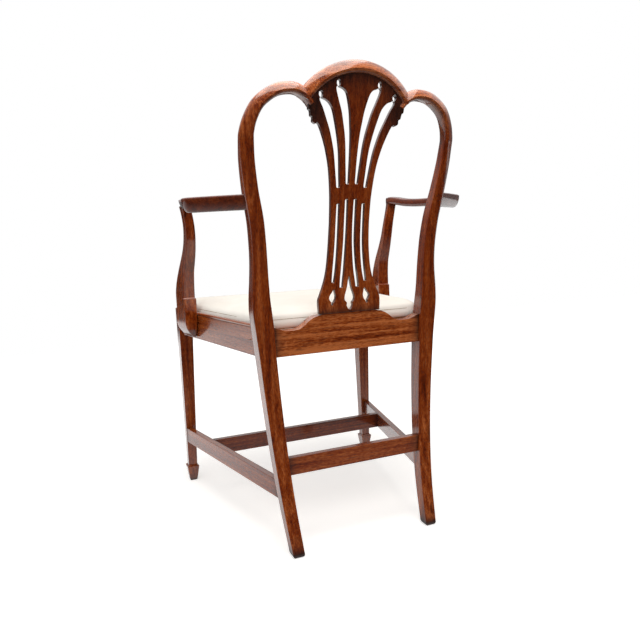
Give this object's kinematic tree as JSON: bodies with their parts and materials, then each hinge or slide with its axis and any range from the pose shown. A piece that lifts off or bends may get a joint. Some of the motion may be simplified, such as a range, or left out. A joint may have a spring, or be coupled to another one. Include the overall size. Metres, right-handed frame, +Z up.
{
  "type": "armchair",
  "caption": "Polished mahogany carver dining armchair with a triple-arched back, a pierced fan splat, curved arms, tapered legs with spade feet and a cream drop-in seat.",
  "frame": {"origin": "centre of the footprint's box, on the floor", "axes": "+Z up; the chair faces -Y; +X towards the sitter's left arm"},
  "size_m": [0.632, 0.5687, 0.95],
  "materials": {
    "mahogany": "polished red-brown mahogany with a thin glossy coat",
    "beech": "plain planed beech, no coat",
    "brass": "dull turned brass",
    "jute": "coarse brown jute",
    "cotton": "soft off-white wadding",
    "cream_fabric": "plain woven cream cloth"
  },
  "bodies": {
    "frame": {"back_leg_left": "mahogany", "back_leg_right": "mahogany", "crest_rail": "mahogany", "splat": "mahogany", "back_seat_rail": "mahogany", "front_leg_left": "mahogany", "front_leg_right": "mahogany", "side_seat_rail_left": "mahogany", "side_seat_rail_right": "mahogany", "front_seat_rail": "mahogany", "arm_left": "mahogany", "arm_right": "mahogany", "arm_support_left": "mahogany", "arm_support_right": "mahogany", "side_stretcher_left": "mahogany", "side_stretcher_right": "mahogany", "middle_stretcher": "mahogany", "back_stretcher": "mahogany", "front_corner_block_left": "beech", "front_corner_block_right": "beech", "back_corner_block_left": "beech", "back_corner_block_right": "beech", "front_block_screw_1_left": "brass", "front_block_screw_1_right": "brass", "front_block_screw_2_left": "brass", "front_block_screw_2_right": "brass", "back_block_screw_1_left": "brass", "back_block_screw_1_right": "brass", "back_block_screw_2_left": "brass", "back_block_screw_2_right": "brass", "support_screw_1_left": "brass", "support_screw_1_right": "brass", "support_screw_2_left": "brass", "support_screw_2_right": "brass", "arm_screw_left": "brass", "arm_screw_right": "brass"},
    "drop_in_seat": {"seat_frame_front": "beech", "seat_frame_back": "beech", "seat_frame_left": "beech", "seat_frame_right": "beech", "webbing_lengthwise_1": "jute", "webbing_crosswise_1": "jute", "webbing_lengthwise_2": "jute", "webbing_crosswise_2": "jute", "webbing_lengthwise_3": "jute", "webbing_crosswise_3": "jute", "seat_hessian": "jute", "seat_stuffing": "cotton", "seat_cover": "cream_fabric"}
  },
  "joints": [
    {"name": "seat_lift", "type": "slide", "parent": "frame", "child": "drop_in_seat", "axis": [0, 0, 1], "range_m": [0, 0.08]}
  ]
}
